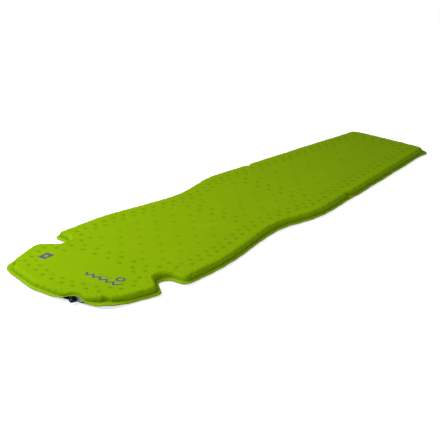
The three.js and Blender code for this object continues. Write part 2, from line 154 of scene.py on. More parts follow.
# ---------------------------------------------------------------- settings shown in the sidebar
class PadSizes(bpy.types.PropertyGroup):
    """Sizes of the fabric and foam."""

    height: FloatProperty(
        name="Height",
        description="Floor to the top of the filled pad",
        default=0.025,
        unit="LENGTH",
    )
    margin: FloatProperty(
        name="Weld margin",
        description="Width of the flat welded edge outside the foam",
        default=0.011,
        unit="LENGTH",
    )
    shoulder: FloatProperty(
        name="Edge roll",
        description="Plan width of the rolled foam edge",
        default=0.0135,
        unit="LENGTH",
    )
    grid: FloatProperty(
        name="Mesh spacing",
        description="Spacing of the mesh over the upper sheet",
        default=0.004,
        unit="LENGTH",
    )
    dimple_radius: FloatProperty(
        name="Dimple radius",
        description="Spread of the soft dip over each die cut",
        default=0.0039,
        unit="LENGTH",
    )
    dimple_depth: FloatProperty(
        name="Dimple depth",
        description="Depth of the deepest dips over the die cuts",
        default=0.0015,
        unit="LENGTH",
    )
    hang: FloatProperty(
        name="Margin hang",
        description="How far the limp edge of the weld margin hangs below the seam",
        default=0.0045,
        unit="LENGTH",
    )
    pressure: FloatProperty(
        name="Cloth pressure",
        description="Pressure that fills the upper cloth along the rolled edge",
        default=3.0,
    )
    slack: FloatProperty(
        name="Cloth slack",
        description="Share by which the upper cloth is larger than the edge that it covers",
        default=0.02,
    )
    knob_ribs: IntProperty(
        name="Knob ribs",
        description="Grip ribs round the valve knob",
        default=16,
        min=6,
    )


class PadColours(bpy.types.PropertyGroup):
    """Base colours, as linear values."""

    top: FloatVectorProperty(
        name="Upper fabric",
        description="Lime green coated fabric",
        subtype="COLOR",
        default=(0.25, 0.425, 0.0004),
    )
    bottom: FloatVectorProperty(
        name="Lower fabric",
        description="Charcoal coated fabric",
        subtype="COLOR",
        default=(0.016, 0.016, 0.019),
    )
    foam: FloatVectorProperty(
        name="Foam",
        description="Cream open-cell foam",
        subtype="COLOR",
        default=(0.75, 0.68, 0.48),
    )
    ink: FloatVectorProperty(
        name="Ink",
        description="Purple-grey print",
        subtype="COLOR",
        default=(0.085, 0.08, 0.13),
    )
    valve_grey: FloatVectorProperty(
        name="Valve body",
        description="Blue-grey moulded urethane",
        subtype="COLOR",
        default=(0.17, 0.23, 0.27),
    )
    valve_black: FloatVectorProperty(
        name="Knob",
        description="Black moulded plastic",
        subtype="COLOR",
        default=(0.005, 0.005, 0.006),
    )


class StageSettings(bpy.types.PropertyGroup):
    """Camera and light."""

    azimuth: FloatProperty(
        name="Azimuth",
        description="Turn of the camera about the vertical",
        default=math.radians(-52.525),
        subtype="ANGLE",
    )
    elevation: FloatProperty(
        name="Elevation",
        description="Height angle of the camera",
        default=math.radians(21.377),
        subtype="ANGLE",
    )
    roll: FloatProperty(
        name="Roll",
        description="Turn of the camera about its own line of sight",
        default=math.radians(1.825),
        subtype="ANGLE",
    )
    distance: FloatProperty(
        name="Distance",
        description="Camera to target",
        default=3.8498,
        unit="LENGTH",
    )
    lens: FloatProperty(
        name="Lens",
        description="Focal length in millimetres",
        default=100.33,
    )
    key_power: FloatProperty(
        name="Key light",
        description="Power of the large light over the head end",
        default=72.0,
        unit="POWER",
    )
    fill_power: FloatProperty(
        name="Fill light",
        description="Power of the light from the camera's side",
        default=4.0,
        unit="POWER",
    )
    sky: FloatProperty(
        name="Sky",
        description="Strength of the even white light from all round",
        default=0.27,
    )
    floor_glow: FloatProperty(
        name="Floor glow",
        description="Light given off by the backlit white floor",
        default=0.7,
    )


# ---------------------------------------------------------------- outline
def inset_corners(inset):
    """Corners of the outline moved inwards by inset, with the directions in and out of each corner.

    Each edge of the control polygon moves square to itself, outer corner radii shrink by the inset down
    to a least radius, and inner corner radii grow by it."""
    at = CORNERS[:, :2]
    into = at - np.roll(at, 1, 0)
    into /= np.linalg.norm(into, axis=1)[:, None]
    out = np.roll(into, -1, 0)
    normal_in = np.stack([-into[:, 1], into[:, 0]], 1)
    normal_out = np.roll(normal_in, -1, 0)
    push = (normal_in + normal_out) * (inset / (1 + (normal_in * normal_out).sum(1)))[:, None]
    turn = np.arctan2(into[:, 0] * out[:, 1] - into[:, 1] * out[:, 0], (into * out).sum(1))
    radius = np.where(turn > 0, np.maximum(CORNERS[:, 2] - inset, LEAST_RADIUS), CORNERS[:, 2] + inset)
    start = at + push - into * (radius * np.tan(np.abs(turn) / 2))[:, None]
    centre = start + normal_in * (np.sign(turn) * radius)[:, None]
    return start, centre, turn, radius


def arc_points(start, centre, angles):
    """Points where start is turned about centre by each of the angles."""
    arm = start - centre
    x = centre[0] + arm[0] * np.cos(angles) - arm[1] * np.sin(angles)
    y = centre[1] + arm[0] * np.sin(angles) + arm[1] * np.cos(angles)
    return np.stack([x, y], 1)


def ring(inset, spacing=4.0):
    """The rounded outline at an inset: an arc at each corner and a straight run to the next.

    The counts of points come from the outline at inset 0, so rings at all insets match one to one."""
    start0, centre0, turn0, radius0 = inset_corners(0)
    start, centre, turn, radius = inset_corners(inset)
    count = len(start)
    points = []
    for i in range(count):
        after = (i + 1) % count
        arc_steps = max(math.ceil(abs(turn0[i]) * radius0[i] / spacing), 3)
        points.append(arc_points(start[i], centre[i], turn[i] * np.arange(arc_steps) / arc_steps))
        end0 = arc_points(start0[i], centre0[i], turn0[i : i + 1])[0]
        run_steps = max(math.ceil(np.linalg.norm(start0[after] - end0) / spacing), 1)
        end = arc_points(start[i], centre[i], turn[i : i + 1])[0]
        share = (np.arange(run_steps) / run_steps)[:, None]
        points.append(end + (start[after] - end) * share)
    return np.concatenate(points)


class Plan:
    """The outline at every inset, so that a point can be asked for by its place along and its inset."""

    def __init__(self, spacing):
        self.insets = np.linspace(0, 46, 24)
        self.rings = np.stack([ring(inset, spacing) for inset in self.insets])
        edge = self.rings[0]
        steps = np.linalg.norm(np.roll(edge, -1, 0) - edge, axis=1)
        self.along = np.concatenate([[0], np.cumsum(steps)[:-1]])
        self.length = steps.sum()

    def at(self, inset):
        """Plan points for one inset at each place along the outline, linear between stored rings."""
        place = np.clip(inset / self.insets[1], 0, len(self.insets) - 1.001)
        low = place.astype(int)
        part = (place - low)[:, None]
        columns = np.arange(len(inset))
        return self.rings[low, columns] * (1 - part) + self.rings[low + 1, columns] * part


# ---------------------------------------------------------------- shape of the sheets
def waves(value, parts):
    """Sum of sine waves; each part is wavelength, height and phase."""
    return sum(height * np.sin(2 * np.pi * value / length + phase) for length, height, phase in parts)


def margin_extra(points):
    """Extra width of the flat margin: a bell round each wide place."""
    extra = np.zeros(len(points))
    for x, y, width, reach in WIDE_MARGINS:
        extra += width * np.exp(-((points[:, 0] - x) ** 2 + (points[:, 1] - y) ** 2) / (2 * reach**2))
    return extra


def crease_depth(points):
    """Depth of the pressed creases: each a long bell along its heading and a narrow one across it."""
    depth = np.zeros(len(points))
    for x, y, heading, length, width, deep in CREASES:
        angle = math.radians(heading)
        dx, dy = points[:, 0] - x, points[:, 1] - y
        along = dx * math.cos(angle) + dy * math.sin(angle)
        across = -dx * math.sin(angle) + dy * math.cos(angle)
        depth += deep * np.exp(-((along / length) ** 2) * 2 - (across / width) ** 2)
    return depth


def inside(polygon, points):
    """Even-odd test of points against a closed polygon, one polygon edge after another."""
    result = np.zeros(len(points), bool)
    x, y = points[:, 0], points[:, 1]
    for (x0, y0), (x1, y1) in zip(polygon, np.roll(polygon, -1, 0)):
        if y0 != y1:
            crosses = (y0 > y) != (y1 > y)
            result ^= crosses & (x < x0 + (y - y0) * (x1 - x0) / (y1 - y0))
    return result


def spaced(polygon, pitch, phase):
    """Points at equal steps of about pitch along a closed polygon, and the inward normals there."""
    closed = np.vstack([polygon, polygon[:1]])
    steps = np.linalg.norm(np.diff(closed, axis=0), axis=1)
    travel = np.concatenate([[0], np.cumsum(steps)])
    count = round(travel[-1] / pitch)
    where = (np.arange(count) + phase) * travel[-1] / count
    at = np.stack([np.interp(where, travel, closed[:, k]) for k in (0, 1)], 1)
    ahead = np.stack([np.interp((where + 6) % travel[-1], travel, closed[:, k]) for k in (0, 1)], 1)
    along = ahead - at
    along /= np.linalg.norm(along, axis=1)[:, None]
    return at, np.stack([-along[:, 1], along[:, 0]], 1)


def die_cuts():
    """Centres of the cuts through the foam and the depth of the dip over each: x, y, depth.

    Two staggered rows follow the outline, double rows cross the pad at each band, and each zone has a
    staggered grid. A later cut too close to an earlier one is left out."""
    border = ring(BORDER_INSET, BORDER_SPACING)
    found = []
    for distance, phase, depth in BORDER_ROWS:
        row, inwards = spaced(border, BORDER_PITCH, phase)
        found.append(np.column_stack([row + inwards * distance, np.full(len(row), depth)]))
    for band in BANDS:
        for column in (0, 1):
            y = (np.arange(-4, 5) + column / 2) * BAND_PITCH
            x = np.full(9, band + (column - 0.5) * BAND_GAP)
            found.append(np.column_stack([x, y, np.full(9, 1.0)]))
    for low, high, step_x, step_y, depth in ZONES:
        columns = np.arange(0, int((high - low) / step_x * 2) + 1)
        rows = np.arange(-3, 4)
        column, line = np.meshgrid(columns, rows)
        x = low + 20 + column * step_x / 2
        y = (line + (column % 2) / 2) * step_y
        found.append(np.column_stack([x.ravel(), y.ravel(), np.full(x.size, depth)]))
    cuts = np.concatenate(found)
    cuts = cuts[inside(border, cuts[:, :2])]
    kept = np.empty((0, 3))
    for cut in cuts:
        if len(kept) == 0 or np.min(np.hypot(*(kept[:, :2] - cut[:2]).T)) > LEAST_CUT_SPACING:
            kept = np.vstack([kept, cut])
    return kept


def dimples(points, cuts, radius):
    """Depth of the dips over the die cuts, from 0 to 1: the largest of the bells round the cuts."""
    depth = np.zeros(len(points))
    order = np.argsort(points[:, 0])
    sorted_x = points[order, 0]
    for x, y, deep in cuts:
        low, high = np.searchsorted(sorted_x, (x - 4 * radius, x + 4 * radius))
        near = order[low:high]
        away = (points[near, 0] - x) ** 2 + (points[near, 1] - y) ** 2
        depth[near] = np.maximum(depth[near], deep * np.exp(-away / (2 * radius**2)))
    return depth


def sheet_swell(points):
    """Slow unevenness of the filled foam: a few crossed long waves, in millimetres."""
    x, y = points[:, 0], points[:, 1]
    return (
        waves(x + 0.4 * y, [(310, 0.18, 0.3), (127, 0.10, 1.1)])
        + waves(y - 0.3 * x, [(190, 0.16, 2.0), (83, 0.08, 0.6)])
        - 0.45
    )


def valve_line_x(plan):
    """Plan x of the welded edge on the valve's line, drawn back by the scallop."""
    edge = plan.rings[0]
    head = edge[(edge[:, 0] < HEAD_X) & (edge[:, 1] < 0)]
    near = head[np.argsort(head[:, 1])]
    return np.interp(VALVE_Y, near[:, 1], near[:, 0]) + SCALLOP


def near_valve(points, edge_x):
    """1 on the valve's line and 0 past the ends of the arch, as a parabola along the seam."""
    along = (points[:, 1] - VALVE_Y) / ARCH_HALF_WIDTH
    return np.where((points[:, 0] < edge_x + VALVE_REACH) & (np.abs(along) < 1), 1 - along**2, 0)


def draw_back(points, inset, edge_x):
    """Moves points near the valve inwards, most at the welded edge."""
    moved = points.copy()
    fade = np.maximum(1 - inset / SCALLOP_REACH, 0)
    moved[:, 0] += SCALLOP * fade * near_valve(points, edge_x) ** 2
    return moved


def arch(points, edge_x, side):
    """How far the opened seam stands above (side 1) or below (side -1) its own height."""
    tilted = math.tan(VALVE_TILT) * (edge_x - points[:, 0] + VALVE_PIVOT)
    return np.maximum(near_valve(points, edge_x) * (ARCH_RISE + side * tilted), 0)


def held_up(edge, edge_x):
    """1 where the margin is held up level, at the valve and both head corners, and 0 where it hangs."""
    up = np.exp(-(((edge[:, 1] - VALVE_Y) / VALVE_REACH) ** 4)) * (edge[:, 0] < edge_x + VALVE_REACH)
    for x, y, reach in TABS:
        corner = (edge[:, 0] - x) ** 2 + (edge[:, 1] - y) ** 2
        up = np.maximum(up, np.exp(-corner / (2 * reach**2)))
    return up


def seam_height(plan, share, edge_x, hang):
    """Height of the welded margin against the seam's own level, by its share of the way to the foam.

    The limp edge hangs, most at its rim, with slow waves along it."""
    free = (1 - share) ** 1.3
    wavy = waves(plan.along, [(173, 0.8, 0.4), (61, 0.5, 1.9), (29, 0.2, 0.7)])
    return free * (wavy - hang * (1 - held_up(plan.rings[0], edge_x)))


# ---------------------------------------------------------------- meshes
def regular(radius, sides, phase=0.0):
    """Corners of a regular polygon round the origin."""
    angle = np.arange(sides) / sides * 2 * np.pi + phase
    return np.stack([np.cos(angle), np.sin(angle)], 1) * radius


def triangulate(points, edges):
    """Constrained Delaunay triangles inside the closed loops of edges, counter-clockwise from above."""
    result = delaunay_2d_cdt([Vector(p) for p in points.tolist()], edges, [], 1, 1e-6)
    source = np.array([origin[0] for origin in result[3]])
    triangles = source[np.array(result[2])]
    a, b, c = (points[triangles[:, k]] for k in (0, 1, 2))
    area = (b[:, 0] - a[:, 0]) * (c[:, 1] - a[:, 1]) - (b[:, 1] - a[:, 1]) * (c[:, 0] - a[:, 0])
    triangles[area < 0] = triangles[area < 0][:, ::-1]
    return triangles


def round_cuts(grid, cuts, radius):
    """The grid with the points near each die cut replaced by three rings of points round the cut."""
    far = np.ones(len(grid), bool)
    rings = []
    for x, y, _ in cuts:
        far &= np.hypot(grid[:, 0] - x, grid[:, 1] - y) > 2.5 * radius
        for reach, count in ((0.0, 1), (0.6, 6), (1.2, 10), (1.9, 14)):
            rings.append(np.array([x, y]) + regular(reach * radius, count, reach))
    return np.vstack([grid[far], *rings])


def cap(boundary, spacing, offset_ring, cuts=(), radius=0.0):
    """Extra points inside a boundary and triangles over it.

    The points are a staggered grid inside offset_ring, finer round any cuts, and the triangles are the
    constrained Delaunay triangulation of the boundary and the grid."""
    low, high = boundary.min(0), boundary.max(0)
    rows = np.arange(low[1], high[1], spacing * 0.866)
    columns = np.arange(low[0], high[0], spacing)
    x, y = np.meshgrid(columns, rows)
    x = x + (np.arange(len(rows)) % 2)[:, None] * spacing / 2
    grid = np.stack([x.ravel(), y.ravel()], 1)
    if len(cuts):
        grid = round_cuts(grid, cuts, radius)
    grid = grid[inside(offset_ring, grid)]
    count = len(boundary)
    edges = [(i, (i + 1) % count) for i in range(count)]
    return grid, triangulate(np.vstack([boundary, grid]), edges)


def loft_faces(rows, count):
    """Quads between neighbouring closed rows of count points each."""
    first = np.arange(count)
    second = (first + 1) % count
    band = np.stack([first, second, second + count, first + count], 1)
    return np.concatenate([band + row * count for row in range(rows - 1)])


def write_mesh(name, points_mm, faces):
    """A mesh object in metres in the frame, from plan points and faces of three or four corners."""
    points = (points_mm + np.array([PLAN_SHIFT, 0, 0])) * MM
    mesh = bpy.data.meshes.new(name)
    mesh.from_pydata(points.tolist(), [], faces)
    mesh.update()
    mesh.polygons.foreach_set("use_smooth", np.ones(len(mesh.polygons), bool))
    piece = bpy.data.objects.new(name, mesh)
    bpy.context.scene.collection.objects.link(piece)
    return piece


def set_attribute(piece, name, values):
    """Stores one number for each vertex, for the material to read."""
    layer = piece.data.attributes.new(name, "FLOAT", "POINT")
    layer.data.foreach_set("value", np.asarray(values, np.float32))


def finish_piece(piece, material, body, slot, *nodes):
    """Gives a piece its material and its body, and hides the nodes that it stands for. The slot is not used.
    """
    piece.data.materials.append(material)
    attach(piece, body)
    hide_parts(*nodes)
    return piece


def shell(name, rows, first_cap, last_cap):
    """A closed shell: rows lofted in order, a cap facing down on the first and one facing up on the last.

    Each cap is its extra points, with heights, and its triangles."""
    count = len(rows[0])
    base = len(rows) * count
    first_points, first_triangles = first_cap
    last_points, last_triangles = last_cap
    points = np.vstack([*rows, first_points, last_points])
    first_ids = np.concatenate([np.arange(count), base + np.arange(len(first_points))])
    last_start = base + len(first_points)
    last_ids = np.concatenate([base - count + np.arange(count), last_start + np.arange(len(last_points))])
    faces = loft_faces(len(rows), count).tolist()
    faces += first_ids[first_triangles][:, ::-1].tolist()
    faces += last_ids[last_triangles].tolist()
    return write_mesh(name, points, faces)


def lifted(points, height):
    """Plan points with their heights."""
    return np.column_stack([points, np.broadcast_to(height, len(points))])


# ---------------------------------------------------------------- materials
def new_material(name, roughness):
    """A material with its shader, ready for a colour and a bump."""
    material = bpy.data.materials.new(name)
    material.use_nodes = True
    shader = material.node_tree.nodes["Principled BSDF"]
    shader.inputs["Roughness"].default_value = roughness
    return material, material.node_tree, shader


def add(tree, kind, **values):
    """A node with its named inputs and settings filled in."""
    node = tree.nodes.new(kind)
    for key, value in values.items():
        if key in node.inputs:
            node.inputs[key].default_value = value
        else:
            setattr(node, key, value)
    return node


def math_node(tree, operation, first, second):
    """A Math node fed by sockets or numbers."""
    node = tree.nodes.new("ShaderNodeMath")
    node.operation = operation
    for socket, value in zip(node.inputs, (first, second)):
        if isinstance(value, (int, float)):
            socket.default_value = value
        else:
            tree.links.new(value, socket)
    return node.outputs[0]


def mix_colours(tree, factor, first, second):
    """A colour between two, by a factor socket."""
    node = tree.nodes.new("ShaderNodeMix")
    node.data_type = "RGBA"
    tree.links.new(factor, node.inputs[0])
    for socket, value in ((node.inputs[6], first), (node.inputs[7], second)):
        if isinstance(value, bpy.types.NodeSocket):
            tree.links.new(value, socket)
        else:
            socket.default_value = (*value, 1)
    return node.outputs[2]


def paint_between(tree, shader, factor, first, second):
    """Feeds the shader's base colour with a colour between two."""
    tree.links.new(mix_colours(tree, factor, first, second), shader.inputs["Base Color"])


def noise(tree, scale, detail=3.0):
    """Noise on Object coordinates, as a socket from 0 to 1."""
    place = tree.nodes.new("ShaderNodeTexCoord")
    node = add(tree, "ShaderNodeTexNoise", Scale=scale, Detail=detail)
    tree.links.new(place.outputs["Object"], node.inputs["Vector"])
    return node.outputs["Fac"]


def weave(tree, threads_per_metre):
    """Height of a plain weave: crossed bands, each thread over the next."""
    place = tree.nodes.new("ShaderNodeTexCoord")
    heights = []
    for direction in ("X", "Y"):
        bands = add(tree, "ShaderNodeTexWave", Scale=threads_per_metre / 3.18, Distortion=0.6)
        bands.bands_direction = direction
        bands.inputs["Detail Scale"].default_value = 2.0
        tree.links.new(place.outputs["Object"], bands.inputs["Vector"])
        heights.append(bands.outputs["Fac"])
    return math_node(tree, "MULTIPLY", heights[0], heights[1])


def bump(tree, shader, height, distance, strength):
    """Feeds a height into the shader's normal."""
    node = add(tree, "ShaderNodeBump", Distance=distance, Strength=strength)
    tree.links.new(height, node.inputs["Height"])
    tree.links.new(node.outputs["Normal"], shader.inputs["Normal"])


def attribute(tree, name):
    """One of the piece's own per-vertex numbers."""
    node = tree.nodes.new("ShaderNodeAttribute")
    node.attribute_name = name
    return node.outputs["Fac"]


def scaled(colour, factor):
    """A colour made lighter or darker."""
    return tuple(min(c * factor, 1.0) for c in colour)


def coated_fabric(name, colour, sheen):
    """Fine plain weave with a coating: mottled colour, painted shade in the dips, creases and rolled edge,
    and a smoother welded margin.
    """
    material, tree, shader = new_material(name, 0.60)
    mottle = noise(tree, 9.0)
    cloth = mix_colours(tree, mottle, scaled(colour, 0.93), scaled(colour, 1.06))
    # Painted shade: the cloth turns a darker tone, leaning to green, where its per-vertex shade rises: in
    # the dimples, in the crease at the foot of the roll and down the rolled edge.
    painted_shade_colour = (colour[0] * 0.46, colour[1] * 0.55, colour[2] * 0.5)
    cloth_with_painted_shade = mix_colours(tree, attribute(tree, "dip_and_painted_shade"), cloth, painted_shade_colour)
    fine = noise(tree, 900.0, 2.0)
    grain = mix_colours(tree, math_node(tree, "MULTIPLY", fine, 0.35), cloth_with_painted_shade, scaled(colour, 0.8))
    tree.links.new(grain, shader.inputs["Base Color"])
    welded = attribute(tree, "weld")
    rough = math_node(tree, "SUBTRACT", 0.60, math_node(tree, "MULTIPLY", welded, 0.14))
    tree.links.new(rough, shader.inputs["Roughness"])
    threads = weave(tree, 1900)
    press = math_node(tree, "MULTIPLY", math_node(tree, "MULTIPLY", weave(tree, 420), welded), 2.0)
    bump(tree, shader, math_node(tree, "ADD", threads, press), 0.00012, 0.35)
    shader.inputs["Sheen Weight"].default_value = sheen
    shader.inputs["Sheen Roughness"].default_value = 0.45
    shader.inputs["Specular IOR Level"].default_value = 0.015
    return material


def open_cell_foam(name, colour):
    """Cream foam with small dark cells."""
    material, tree, shader = new_material(name, 0.95)
    place = tree.nodes.new("ShaderNodeTexCoord")
    cells = add(tree, "ShaderNodeTexVoronoi", Scale=700.0)
    tree.links.new(place.outputs["Object"], cells.inputs["Vector"])
    walls = cells.outputs["Distance"]
    paint_between(tree, shader, walls, scaled(colour, 0.55), colour)
    bump(tree, shader, walls, 0.0005, 0.5)
    return material


def printed_ink(name, colour):
    """Flat ink on fabric: the weave shows through and the ink is thinner in places."""
    material, tree, shader = new_material(name, 0.5)
    paint_between(tree, shader, noise(tree, 160.0), scaled(colour, 0.8), scaled(colour, 1.35))
    bump(tree, shader, weave(tree, 1900), 0.00008, 0.3)
    return material


def moulded_plastic(name, colour, roughness, glow):
    """Satin moulded plastic: fine grain, slight colour drift, and a little light passing through."""
    material, tree, shader = new_material(name, roughness)
    paint_between(tree, shader, noise(tree, 60.0), scaled(colour, 0.85), scaled(colour, 1.15))
    bump(tree, shader, noise(tree, 2600.0, 2.0), 0.00008, 0.3)
    shader.inputs["Subsurface Weight"].default_value = glow
    shader.inputs["Subsurface Radius"].default_value = (0.002, 0.002, 0.002)
    return material


def soft_rubber(name):
    """Matt black rubber with a dusty bloom."""
    material, tree, shader = new_material(name, 0.8)
    paint_between(tree, shader, noise(tree, 240.0), (0.012, 0.012, 0.012), (0.03, 0.03, 0.03))
    bump(tree, shader, noise(tree, 1800.0), 0.0001, 0.25)
    return material


def studio_floor(name, glow):
    """Backlit matt white sheet with a faint tooth."""
    material, tree, shader = new_material(name, 0.9)
    shader.inputs["Emission Color"].default_value = (1, 1, 1, 1)
    shader.inputs["Emission Strength"].default_value = glow
    paint_between(tree, shader, noise(tree, 40.0), (0.86, 0.86, 0.86), (0.9, 0.9, 0.9))
    return material


# ---------------------------------------------------------------- covers
def roll_profile(steps):
    """The rolled edge from margin to flat top, as shares of its plan width and its height.

    A quarter of an ellipse, upright at the margin and level at the top."""
    angle = np.linspace(0, np.pi / 2, steps + 1)[1:]
    return 1 - np.cos(angle), np.sin(angle)


def pucker(plan, share):
    """Small upright folds round the rolled edge, strongest half way up it."""
    folds = waves(plan.along, [(37, 0.30, 0.2), (23, 0.22, 1.3), (53, 0.26, 2.2)])
    slow = 0.6 + 0.4 * np.sin(2 * np.pi * plan.along / 410 + 0.9)
    return folds * slow * math.sin(math.pi * share)


LOWER_ROLL = 9.0  # plan width of the lower cover's rolled edge
MARGIN_SHARES = (0, 0.25, 0.5, 0.75, 0.93)
MARGIN_PAINTED_SHADES = (0.0, 0.0, 0.1, 0.45, 1.0)  # painted shade at each, darkest towards the crease at the foot of the roll
ROLL_STEPS = 9
INNER_ROLL_STEPS = 4
COVER_SPACING = (4.0, 5.0)  # along the edge, of the upper and the lower cover
UNDERSIDE_CAP = (28.0, 12.0)  # spacing of the cover's hidden face, and how far it starts from the edge


def cover_rows(plan, edge_x, sizes, side):
    """Rows of one cover from the welded edge to its flat face, its heights and its inner copy.

    side is 1 for the upper cover and -1 for the lower. Each row is plan points with heights."""
    margin = sizes.margin / MM + margin_extra(plan.rings[0])
    roll = sizes.shoulder / MM if side > 0 else LOWER_ROLL
    seam = SEAM_Z + side * SEAM_GAP / 2
    outer_seam = seam + side * SHEET
    flat = sizes.height / MM if side > 0 else 0.0
    level = flat - outer_seam
    outer, inner = [], []
    hang = sizes.hang / MM
    for share in MARGIN_SHARES:
        inset = margin * share
        points = draw_back(plan.at(inset + HANG_PULL * (1 - share)), inset, edge_x)
        rise = seam_height(plan, share, edge_x, hang) + side * arch(points, edge_x, side)
        outer.append(lifted(points, outer_seam + rise))
        inner.append(lifted(points, seam + rise))
    for across, up in zip(*roll_profile(ROLL_STEPS)):
        inset = margin + roll * across
        fold = pucker(plan, up) if side > 0 else 0
        points = draw_back(plan.at(inset + fold), inset, edge_x)
        height = outer_seam + level * up
        over = np.maximum(arch(points, edge_x, side) - abs(level * up), 0) * side
        outer.append(lifted(points, height + over))
    inner_level = BONDED_UNDERSIDE - seam if side > 0 else SHEET - seam
    for across, up in zip(*roll_profile(INNER_ROLL_STEPS)):
        inset = margin + 1.4 * SHEET + roll * across
        points = draw_back(plan.at(inset), inset, edge_x)
        height = seam + inner_level * up
        over = np.maximum(arch(points, edge_x, side) - abs(inner_level * up), 0) * side
        inner.append(lifted(points, height + over))
    return outer, inner


def top_surface(points, cuts, sizes, flat):
    """Height of the upper sheet and the strength of the dips, which also sets their painted shade, at plan
    points.
    """
    dip_and_painted_shade = dimples(points, cuts, sizes.dimple_radius / MM)
    height = flat + sheet_swell(points) - dip_and_painted_shade * sizes.dimple_depth / MM - crease_depth(points)
    return height, dip_and_painted_shade


CLOTH_FRAMES = 20
MOST_SWELL = 1.8  # how far the cloth may stand out from its starting shape
MOST_SINK = 0.5
BAND_INSET = 65  # the cloth is simulated out from here
BOND_INSET = 42  # and is bonded to the foam in from here
SOFT_HOLD = 0.4


def filled_cloth(points, faces, hold, sizes):
    """Outward move of each point when the cloth fills, in millimetres, by Cloth simulation.

    The cloth is slightly too large and is blown up by pressure without gravity. It is held fully where
    hold is 1 and softly in between. Only the part of the move square to the sheet is kept, within limits."""
    mesh = bpy.data.meshes.new("cloth")
    mesh.from_pydata((points * MM).tolist(), [], faces)
    mesh.update()
    cloth = bpy.data.objects.new("cloth", mesh)
    scene = bpy.context.scene
    scene.collection.objects.link(cloth)
    group = cloth.vertex_groups.new(name="hold")
    for weight in np.unique(hold[hold > 0]):
        group.add(np.nonzero(hold == weight)[0].tolist(), float(weight), "REPLACE")
    modifier = cloth.modifiers.new("fill", "CLOTH")
    modifier.point_cache.frame_start = 1
    modifier.point_cache.frame_end = CLOTH_FRAMES
    modifier.settings.quality = 4
    modifier.settings.mass = 0.1
    modifier.settings.bending_stiffness = 0.3
    modifier.settings.use_pressure = True
    modifier.settings.uniform_pressure_force = sizes.pressure
    modifier.settings.shrink_min = -sizes.slack
    modifier.settings.vertex_group_mass = "hold"
    modifier.settings.effector_weights.gravity = 0
    modifier.collision_settings.use_collision = False
    for step in range(1, CLOTH_FRAMES + 1):
        scene.frame_set(step)
    moved = np.empty(points.size)
    normals = np.empty(points.size)
    filled = cloth.evaluated_get(bpy.context.evaluated_depsgraph_get()).to_mesh()
    filled.vertices.foreach_get("co", moved)
    mesh.vertices.foreach_get("normal", normals)
    normals = normals.reshape(-1, 3)
    outwards = ((moved.reshape(-1, 3) / MM - points) * normals).sum(1)
    bpy.data.objects.remove(cloth)
    bpy.data.meshes.remove(mesh)
    scene.frame_set(1)
    return np.clip(outwards, -MOST_SINK, MOST_SWELL)[:, None] * normals


def fill_edge(rows, grid, triangles, sizes):
    """The outer rows and the sheet's grid after the cloth along the rolled edge has filled.

    Only the rows and a band of the sheet are simulated. The welded margin is held, and so is the sheet
    where it is bonded to the foam, softly near the roll."""
    count = len(rows[0])
    total = len(rows) * count
    points = np.vstack([*rows, grid])
    band = np.ones(len(points), bool)
    band[total:] = ~inside(ring(BAND_INSET, 8), grid[:, :2])
    hold = np.zeros(len(points))
    hold[: len(MARGIN_SHARES) * count] = 1
    hold[total:] = np.where(inside(ring(BOND_INSET, 8), grid[:, :2]), 1.0, SOFT_HOLD)
    ids = np.concatenate([total - count + np.arange(count), total + np.arange(len(grid))])
    index = np.cumsum(band) - 1
    faces = []
    for group in (loft_faces(len(rows), count), ids[triangles]):
        faces += index[group[band[group].all(1)]].tolist()
    points[band] += filled_cloth(points[band], faces, hold[band], sizes)
    return np.split(points[:total], len(rows)), points[total:]


def settle(rows, cuts, sizes, flat):
    """Carries the sheet's dips and creases out over the rolled edge, by the share of height reached.

    The second result is the painted shade of each point: darkest in the crease at the foot of the roll,
    fading up the roll, with more added over the dimples."""
    # Painted shade for each row: rising across the margin to the crease, then fading up the rolled edge.
    painted_row_shades = [np.full(len(rows[0]), painted_shade) for painted_shade in MARGIN_PAINTED_SHADES]
    painted_row_shades += [np.full(len(rows[0]), 0.95 * (1 - up) ** 0.85) for up in roll_profile(ROLL_STEPS)[1]]
    settled = []
    for row, painted_shade in zip(rows, painted_row_shades):
        share = np.clip((row[:, 2] - SEAM_Z) / (flat - SEAM_Z), 0, 1) ** 2
        height, dip_and_painted_shade = top_surface(row[:, :2], cuts, sizes, flat)
        settled.append(lifted(row[:, :2], row[:, 2] + (height - flat) * share))
        painted_shade += dip_and_painted_shade * share * (1 - painted_shade)
    return settled, np.concatenate(painted_row_shades)


def shrink(polygon, distance):
    """A closed polygon moved inwards by distance along its vertex normals."""
    along = np.roll(polygon, -1, 0) - np.roll(polygon, 1, 0)
    along /= np.linalg.norm(along, axis=1)[:, None] + 1e-9
    return polygon + np.stack([-along[:, 1], along[:, 0]], 1) * distance


def hidden_face(inner):
    """Points with heights and triangles of the flat face that closes a cover's inner copy."""
    edge = inner[-1][:, :2]
    spacing, start = UNDERSIDE_CAP
    grid, triangles = cap(edge, spacing, shrink(edge, start))
    return lifted(grid, inner[-1][:, 2].mean()), triangles


def mark_cloth(piece, painted_shades, before, count):
    """Stores the painted shade of each point and which points are on the welded margin.

    The margin is the last rows of the copy that comes first and the first rows of the other."""
    welded_rows = len(MARGIN_SHARES)
    weld = np.zeros(len(painted_shades))
    weld[(before - welded_rows) * count : (before + welded_rows) * count] = 1
    # The painted shade goes to the fabric's colour as a per-vertex number.
    set_attribute(piece, "dip_and_painted_shade", painted_shades)
    set_attribute(piece, "weld", weld)


